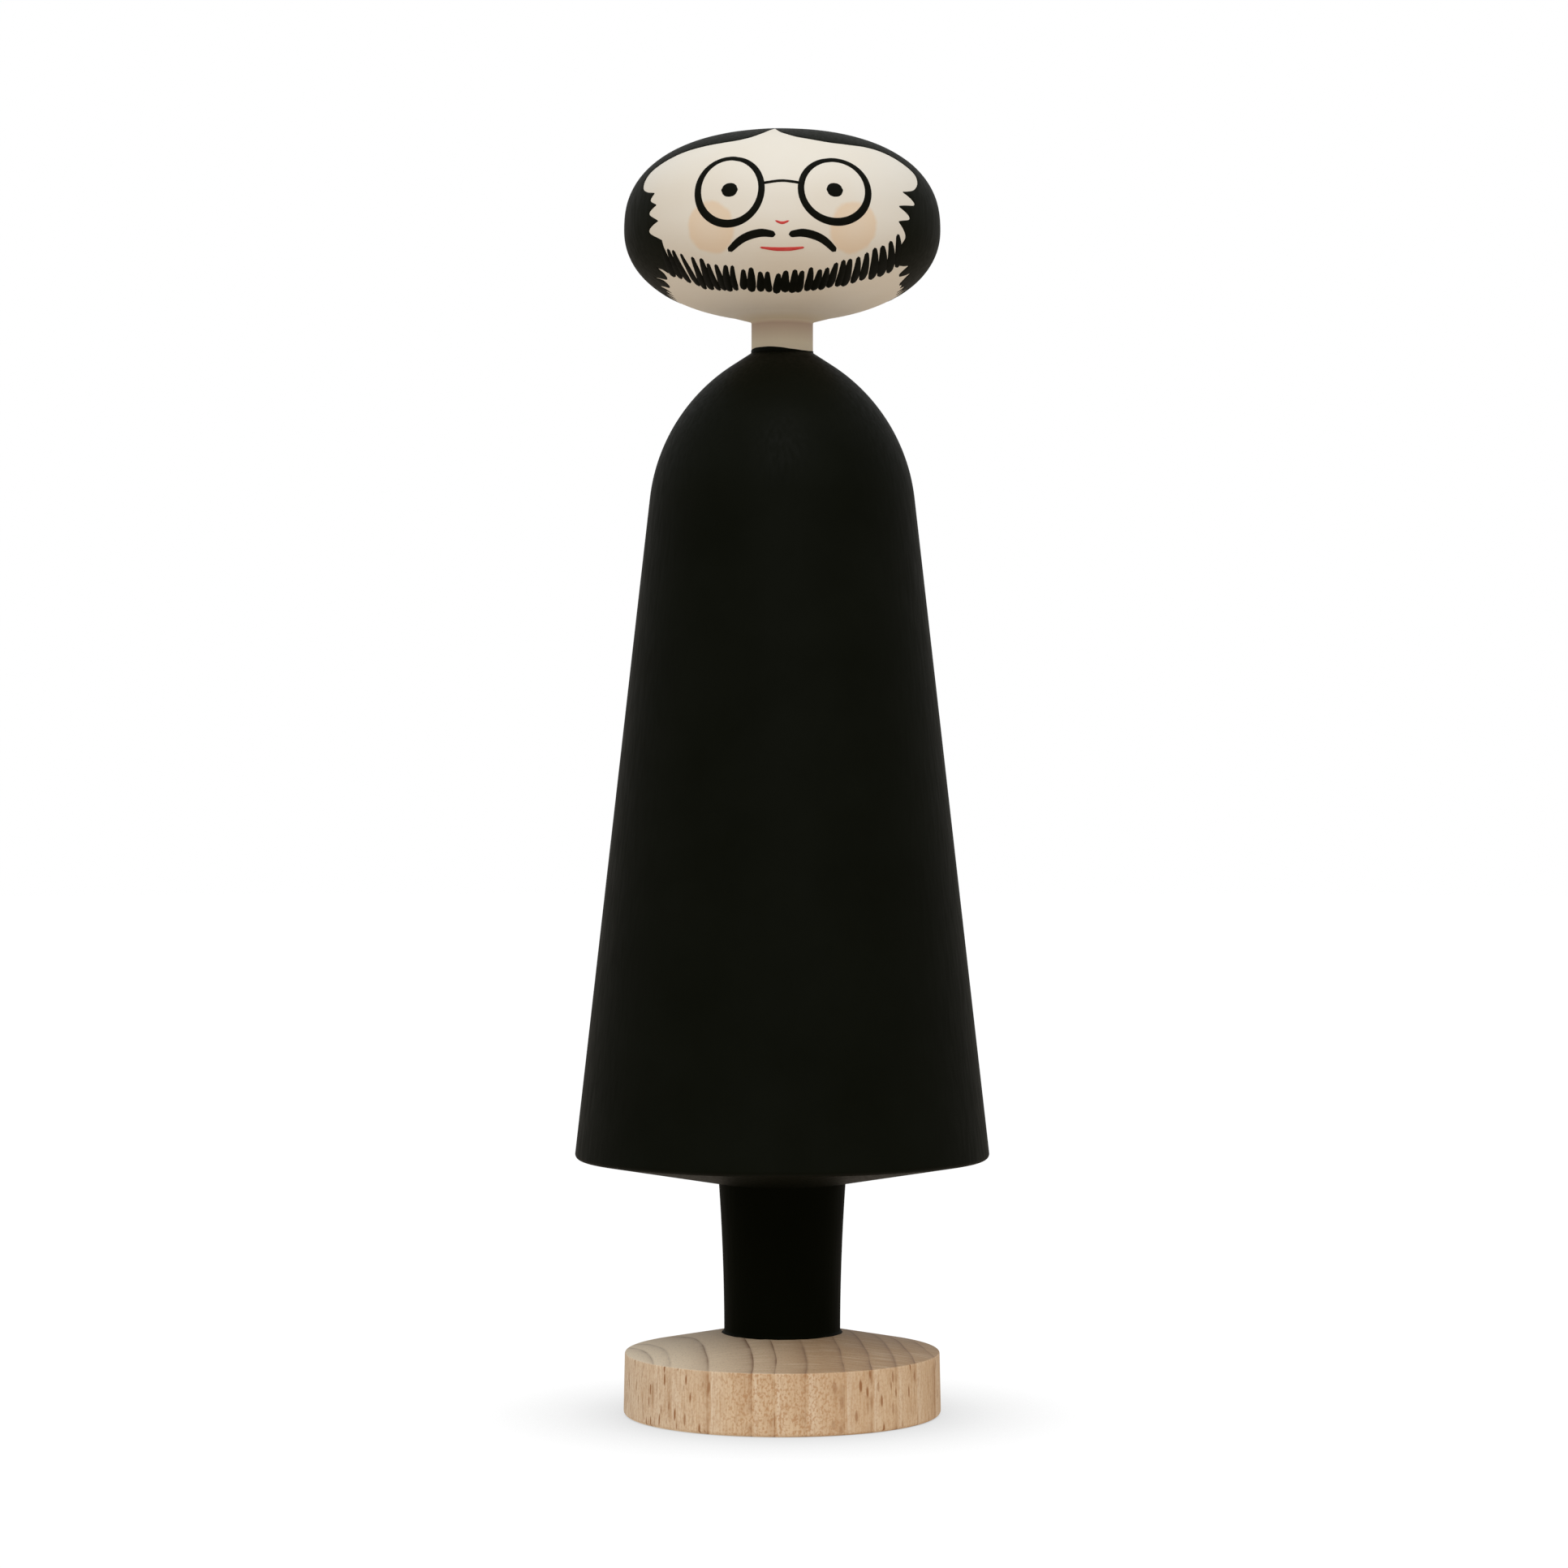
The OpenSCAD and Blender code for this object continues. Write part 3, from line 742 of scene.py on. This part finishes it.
def backTeeth(look):
    # teeth round the back, from the last tip on the left to the first on the right
    chance = random.Random(look["seed"])
    (left, leftZ), (right, rightZ) = look["leftEdge"][-1][-1], look["rightEdge"][0][0]
    step = (right - 360 - left) / look["backTeeth"]
    tips = [(left, leftZ)]
    for i in range(1, look["backTeeth"]):
        level = leftZ + (rightZ - leftZ) * i / look["backTeeth"]
        tips.append((left + step * (i + chance.uniform(-look["tipShift"], look["tipShift"])),
                     level + chance.uniform(-1, 1) * look["backSpread"]))
    tips.append((right - 360, rightZ))
    teeth = []
    for one, two in zip(tips, tips[1:]):
        root = (one[0] + (two[0] - one[0]) * chance.uniform(*look["rootPlace"]),
                (one[1] + two[1]) / 2 + look["backDepth"] + chance.uniform(-1, 1) * look["backSpread"])
        teeth.append([one, root, two])
    return teeth


def joinRuns(runs):
    return [before[-1:] + run for before, run in zip([[], *runs], runs)]


def hairEdge(look):
    noise.seed_set(look["seed"])  # without it noise_vector would start from the clock
    edge = []
    for run in joinRuns(look["leftEdge"]) + backTeeth(look) + joinRuns(look["rightEdge"]):
        edge += smoothRun([onMap(*spot) for spot in run], look["edgeStep"])[:-1]
    for i, spot in enumerate(edge):  # a hand-held brush never draws a clean curve
        edge[i] = spot + noise.noise_vector(spot.to_3d() / look["wobbleLength"]).to_2d() * look["wobble"]
    return edge


def hairSpots(look, edge, tree):
    # rows of points along the edge for the rounded lip of the film, then an even grid inside
    spots = []
    for before, spot, after in zip(edge[-1:] + edge[:-1], edge, edge[1:] + edge[:1]):
        ahead = (after - before).normalized()
        for inset in look["bevel"]:
            for inward in (Vector((-ahead.y, ahead.x)), Vector((ahead.y, -ahead.x))):
                lip = spot + inward * inset
                if tree.find(lip.to_3d())[2] > inset * look["lipRoom"]:
                    spots.append(lip)
    rowStep = look["grid"] * math.sqrt(3) / 2
    rows = math.ceil(max(spot.length for spot in edge) / rowStep)
    for row in range(-rows, rows + 1):
        for column in range(-rows, rows + 1):
            spot = Vector(((column + 0.5 * (row % 2)) * look["grid"], row * rowStep))
            if tree.find(spot.to_3d())[2] > look["edgeRoom"]:
                spots.append(spot)
    return spots


def makeHairFilm(look):
    edge = hairEdge(look)
    tree = kdtree.KDTree(len(edge))
    for i, spot in enumerate(edge):
        tree.insert(spot.to_3d(), i)
    tree.balance()
    border = [(i, (i + 1) % len(edge)) for i in range(len(edge))]
    inside = 1  # keeps only the triangles within the border
    spots, _, triangles, *_ = delaunay_2d_cdt(edge + hairSpots(look, edge, tree), border, [], inside,
                                              look["weld"])
    used = sorted({i for t in triangles for i in t})
    fresh = {old: new for new, old in enumerate(used)}
    upper, lower = [], []
    for i in used:
        spot = spots[i]
        azimuth, distance = math.atan2(spot.x, -spot.y), spot.length
        fromEdge = tree.find(spot.to_3d())[2]
        share = min(1, fromEdge / look["bevel"][-1])
        lift = look["lift"] * math.sin(share * math.pi / 2)
        lift -= strokeShape["sunk"] * (fromEdge < look["onEdge"])
        lift += look["waves"] * noise.noise(spot.to_3d() / look["waveLength"]) * (share == 1)
        upper.append(headSpot(azimuth, distance, lift))
        lower.append(headSpot(azimuth, distance, -look["under"]))
    count = len(upper)
    top = [[fresh[i] for i in t] for t in triangles]
    faces = top + [[i + count for i in t[::-1]] for t in top]
    sides = {}
    for t in top:
        for a, b in zip(t, t[1:] + t[:1]):
            if sides.pop((b, a), None) is None:
                sides[(a, b)] = True
    faces += [[b, a, a + count, b + count] for a, b in sides]
    return makePiece("hairFilm", upper + lower, faces, hairPaint, "face_paint", sharpAngle=60)


# Beard: a fringe of thick strokes from sideburn to sideburn, leaning outwards at the top and run together
# along the jaw
beard = {
    # strokes at a few places along the jaw, and the others follow them: the middle, the top, the bottom, the
    # lean of the top and the breadth
    "guides": [(-17.6, 181.8, 177.5, -1.9, 1), (-14, 180.7, 175.85, -2.6, 0.88),
               (-9.8, 178.6, 175.3, -1.3, 0.87), (-6, 178, 175.1, -0.3, 0.97), (0, 177.3, 174.75, 0.1, 1.05),
               (4.5, 177.8, 175, 0.7, 0.98), (8.5, 178.9, 175.5, 1.1, 0.94), (13, 180.5, 176.6, 0.4, 1),
               (15.3, 181.6, 177.4, 0.2, 1.08), (18, 184, 179.1, 0, 1.12)],
    "every": 1.2, "everySpread": 0.17, "leanSpread": 0.3, "topSpread": 0.3, "bottomSpread": 0.18,
    "bow": 0.015, "bowSpread": 0.12, "widths": (0.66, 1.14, 1.42, 1.5, 1.0), "widthSpread": 0.14,
    "sideWidth": 0.45, "lift": (0.06, 0.12), "seed": 5,
}


def makeBeard(look):
    chance = random.Random(look["seed"])
    vertices, faces, guides = [], [], look["guides"]
    x = guides[0][0]
    while x < guides[-1][0] + look["every"] / 2:
        after = min(max(bisect.bisect(guides, (x,)), 1), len(guides) - 1)
        one, two = guides[after - 1], guides[after]
        share = (x - one[0]) / (two[0] - one[0])
        high, low, lean, breadth = [a + (b - a) * share for a, b in zip(one[1:], two[1:])]
        high += chance.uniform(-1, 1) * look["topSpread"]
        low += chance.uniform(-1, 1) * look["bottomSpread"]
        lean += chance.uniform(-1, 1) * look["leanSpread"]
        bow = look["bow"] * x + chance.uniform(-1, 1) * look["bowSpread"]
        middle = (high + low) / 2
        spots = [faceSpot(x + lean / 2, high), faceSpot(x + bow, middle), faceSpot(x - lean / 2, low)]
        # the strokes are broader round the sides, where they are seen aslant
        size = breadth * chance.uniform(1 - look["widthSpread"], 1 + look["widthSpread"])
        size /= math.cos(math.asin(x / headRadius(middle))) ** look["sideWidth"]
        layStroke(vertices, faces, spots, [w * size for w in look["widths"]], chance.uniform(*look["lift"]))
        x += look["every"] * chance.uniform(1 - look["everySpread"], 1 + look["everySpread"])
    return makePiece("beardStrokes", vertices, faces, strokePaint, "face_paint", sharpAngle=60)


# Face: calm and plain, on the usual thirds of a head, with round spectacles and a moustache
face = {
    "eyeX": 8.0, "eyeZ": 189.4, "eyeD": 2.5,
    # the brush goes a little more than once round each rim, which is no true circle
    "rimR": 5.0, "rimStart": 70, "rimSweep": 372, "rimSteps": 24, "rimSway": 0.16,
    "rimWidths": (0.95, 1.1, 1.3, 1.45, 1.4, 1.25, 1.15, 1.05, 0.95),
    "bridgeZ": 190.3, "bridgeArch": 0.35, "bridgeWidth": 0.5,
    "noseZ": 184.2, "noseHalf": 1.1, "noseRise": 0.35, "noseWidths": (0.3, 0.5, 0.3),
    "moustache": [(1.0, 182.5), (3.4, 182.75), (6.0, 182.0), (8.2, 180.3)],
    "moustacheWidths": (1.1, 1.45, 1.45, 1.3, 1.0),
    "mouth": [(-3.4, 180.7), (-1.2, 180.45), (1.2, 180.45), (3.4, 180.7)],
    "mouthWidths": (0.35, 0.7, 0.75, 0.4),
    "lift": 0.08, "bridgeLift": 0.1,
}


def makeFace(look):
    made = []
    eyes, rims, whiskers, lips, nose = [([], []) for _ in range(5)]
    for way in (-1, 1):
        x, z, half = way * look["eyeX"], look["eyeZ"], look["eyeD"] / 2
        layStroke(*eyes, [faceSpot(x + step * half, z) for step in (-1, 0, 1)], (look["eyeD"], look["eyeD"]),
                  look["lift"])
        rim = []
        for i in range(look["rimSteps"] + 1):
            turn = math.radians(look["rimStart"] + look["rimSweep"] * i / look["rimSteps"])
            r = look["rimR"] + look["rimSway"] * math.sin(2 * turn + way)
            rim.append(faceSpot(x - way * r * math.cos(turn), z + r * math.sin(turn)))
        layStroke(*rims, rim, look["rimWidths"], look["lift"])
        whisker = [faceSpot(way * wx, wz) for wx, wz in look["moustache"]]
        layStroke(*whiskers, whisker, look["moustacheWidths"], look["lift"])
    inner, bridgeZ = look["eyeX"] - look["rimR"], look["bridgeZ"]
    bridge = [faceSpot(-inner, bridgeZ), faceSpot(0, bridgeZ + look["bridgeArch"]), faceSpot(inner, bridgeZ)]
    layStroke(*rims, bridge, (look["bridgeWidth"], look["bridgeWidth"]), look["bridgeLift"])
    layStroke(*lips, [faceSpot(*spot) for spot in look["mouth"]], look["mouthWidths"], look["lift"])
    half, wingZ = look["noseHalf"], look["noseZ"] + look["noseRise"]
    layStroke(*nose, [faceSpot(-half, wingZ), faceSpot(0, look["noseZ"]), faceSpot(half, wingZ)],
              look["noseWidths"], look["lift"])
    for name, shape, material in (("eyeDots", eyes, strokePaint), ("spectacleRims", rims, strokePaint),
                                  ("moustacheStrokes", whiskers, strokePaint),
                                  ("mouthStroke", lips, mouthPaint), ("noseStroke", nose, mouthPaint)):
        made.append(makePiece(name, *shape, material, "face_paint", sharpAngle=60))
    return made


painted = [makeHairFilm(hair), makeBeard(beard), *makeFace(face)]
print("paint on the head:", ", ".join(piece.name for piece in painted))


# Paint that ran past a joint: the robe's black up onto the neck, the leg's black out onto the base
collarFilm = {"thick": 0.07, "sunk": 0.05, "down": 0.5, "rise": 0.42, "arch": 0.28, "archAt": -38,
              "lipDepth": 0.1, "lipThick": 0.049, "lipTop": 0.03,
              "wobble": 0.09, "wobbleR": 3, "wobbleLevel": 0.5, "turns": 160}
footFilm = {"reach": 0.45, "thick": 0.06, "sunk": 0.05, "up": 0.4, "lip": 0.12, "corner": 0.1, "top": 0.03,
            "inLeg": 0.1, "wobble": 0.16, "wobbleR": 6, "wobbleLevel": 3.1, "turns": 200}


def wobbleOf(look, angle):
    # noise along a circle, so that the ragged edge closes on itself
    r = look["wobbleR"]
    return noise.noise((r * math.cos(angle), r * math.sin(angle), look["wobbleLevel"])) * look["wobble"]


def wrapFilm(name, sections, material, slot):
    # a closed ring of paint from one closed section per step round the axis
    vertices, rings = [], []
    for angle, section in sections:
        rings.append(range(len(vertices), len(vertices) + len(section)))
        vertices += [around(r, angle, z) for r, z in section]
    return makePiece(name, vertices, joinRings(rings + rings[:1]), material, slot, sharpAngle=60)


def makeCollarFilm(look):
    sections, r, lowZ = [], seats["neckD"] / 2, collarZ - look["down"]
    inner, outer = r - look["sunk"], r + look["thick"]
    for angle in turnSteps(look["turns"]):
        swing = math.cos(2 * (angle - math.radians(look["archAt"])))  # up and down twice round the neck
        top = collarZ + look["rise"] + look["arch"] * swing + wobbleOf(look, angle)
        sections.append((angle, [(inner, lowZ), (outer, lowZ), (outer, top - look["lipDepth"]),
                                 (r + look["lipThick"], top - look["lipTop"]), (inner, top)]))
    return wrapFilm("collarPaint", sections, robePaint, "robe_paint")


def makeFootFilm(look):
    sections, r, upZ = [], seats["legFootD"] / 2, legZ + look["up"]
    seat, rim = Vector((r, legZ)), Vector((baseDisc["rimD"] / 2, baseDisc["rimHeight"]))
    down = (rim - seat).normalized()
    out = Vector((-down.y, down.x))
    for angle in turnSteps(look["turns"]):
        reach = look["reach"] + wobbleOf(look, angle)
        edge, crest = seat + down * reach, seat + down * (reach - look["lip"]) + out * look["thick"]
        sections.append((angle, [(edge - out * look["sunk"])[:], crest[:],
                                 (r + look["corner"], legZ + look["lip"]), (r + look["top"], upZ),
                                 (r - look["inLeg"], upZ), (r - look["inLeg"], legZ - look["sunk"])]))
    return wrapFilm("footPaint", sections, legPaint, "leg_paint")


overrun = [makeCollarFilm(collarFilm), makeFootFilm(footFilm)]
print("paint past the joints:", ", ".join(piece.name for piece in overrun))


# Studio: white paper under the figure that glows, with a painted shadow close round the base, a white surround
# and one large soft lamp in front, high up
studio = {
    # the paper's glow in the open and in the painted shadow at the base, how far the occlusion looks, and its
    # samples
    "floorR": 3000, "floorDrop": 0.02, "floorLight": 1.04, "paintedShadowLight": 0.5, "paintedShadowReach": 46,
    "paintedShadowSamples": 8, "turns": 96,
    # light of the surround from straight below to straight above: warm from the table, neutral from the top
    "surround": [(0.0, "#FFEEDC"), (0.34, "#B4A99C"), (0.5, "#ADA8A0"), (0.66, "#CCCCCC"), (1.0, "#E0E0E0")],
    "surroundStrength": 1.0,
    "lampAt": (10, -840, 1020), "lampAim": (0, 0, 110), "lampSize": 700, "lampPower": 5.7,
}


def makeFloor(look):
    rim = [around(look["floorR"], angle, -look["floorDrop"]) for angle in turnSteps(look["turns"])]
    mesh = bpy.data.meshes.new("paperFloor")
    mesh.from_pydata([[c * mm for c in v] for v in rim], [], [range(len(rim))])
    floor = addObject("paperFloor", mesh)
    # white paper that glows rather than takes light: ambient occlusion paints a shadow on it close round the
    # base, and as it bounces no light the underside of the figure is lit by the surround alone
    floor.visible_diffuse = floor.visible_glossy = floor.visible_shadow = False
    material, tree = newMaterial("white_paper_glowing_painted_shadow")
    unoccludedShare = addNode(tree, "AmbientOcclusion", {"Distance": look["paintedShadowReach"] * mm},
                      samples=look["paintedShadowSamples"]).outputs["AO"]
    shade = addNode(tree, "MapRange", {0: unoccludedShare, 3: look["paintedShadowLight"], 4: look["floorLight"]})
    addNode(tree, "OutputMaterial", {"Surface": addNode(tree, "Emission", {"Strength": shade})})
    mesh.materials.append(material)


def makeLight(look):
    world = bpy.data.worlds.new("white_surround")
    world.use_nodes = True
    tree = world.node_tree
    tree.nodes.clear()
    way = addNode(tree, "SeparateXYZ", {0: addNode(tree, "TexCoord").outputs["Generated"]})
    height = addNode(tree, "MapRange", {0: way.outputs["Z"], 1: -1.0, 2: 1.0})
    surround = addNode(tree, "ValToRGB", {0: height}, stops=look["surround"])
    light = addNode(tree, "Background", {"Color": surround, "Strength": look["surroundStrength"]})
    white = addNode(tree, "Background", {"Color": "#FFFFFF"})
    seen = addNode(tree, "LightPath").outputs["Is Camera Ray"]
    light = addNode(tree, "MixShader", {0: seen, 1: light, 2: white})
    addNode(tree, "OutputWorld", {"Surface": light})
    bpy.context.scene.world = world

    lamp = bpy.data.lights.new("softLamp", "AREA")
    lamp.shape, lamp.size, lamp.energy = "DISK", look["lampSize"] * mm, look["lampPower"]
    holder = addObject("softLamp", lamp)
    holder.location = Vector(look["lampAt"]) * mm
    aim = Vector(look["lampAim"]) - Vector(look["lampAt"])
    holder.rotation_euler = aim.to_track_quat("-Z", "Y").to_euler()


# Camera: level, a long way off, in the middle of the figure's height
camera = {"at": (0.28, -640, 99.1), "focalPixels": 5000, "imagePixels": 1932, "sensor": 36,
          "clip": (50, 20000)}


def makeCamera(look):
    data = bpy.data.cameras.new("camera")
    data.sensor_width = look["sensor"]
    data.lens = look["focalPixels"] / look["imagePixels"] * look["sensor"]
    data.clip_start, data.clip_end = [distance * mm for distance in look["clip"]]
    holder = addObject("camera", data)
    holder.location = Vector(look["at"]) * mm
    holder.rotation_euler = (math.pi / 2, 0, 0)
    bpy.context.scene.camera = holder


makeFloor(studio)
makeLight(studio)
makeCamera(camera)
bpy.context.scene.view_settings.view_transform = "Standard"
print("studio and camera set")
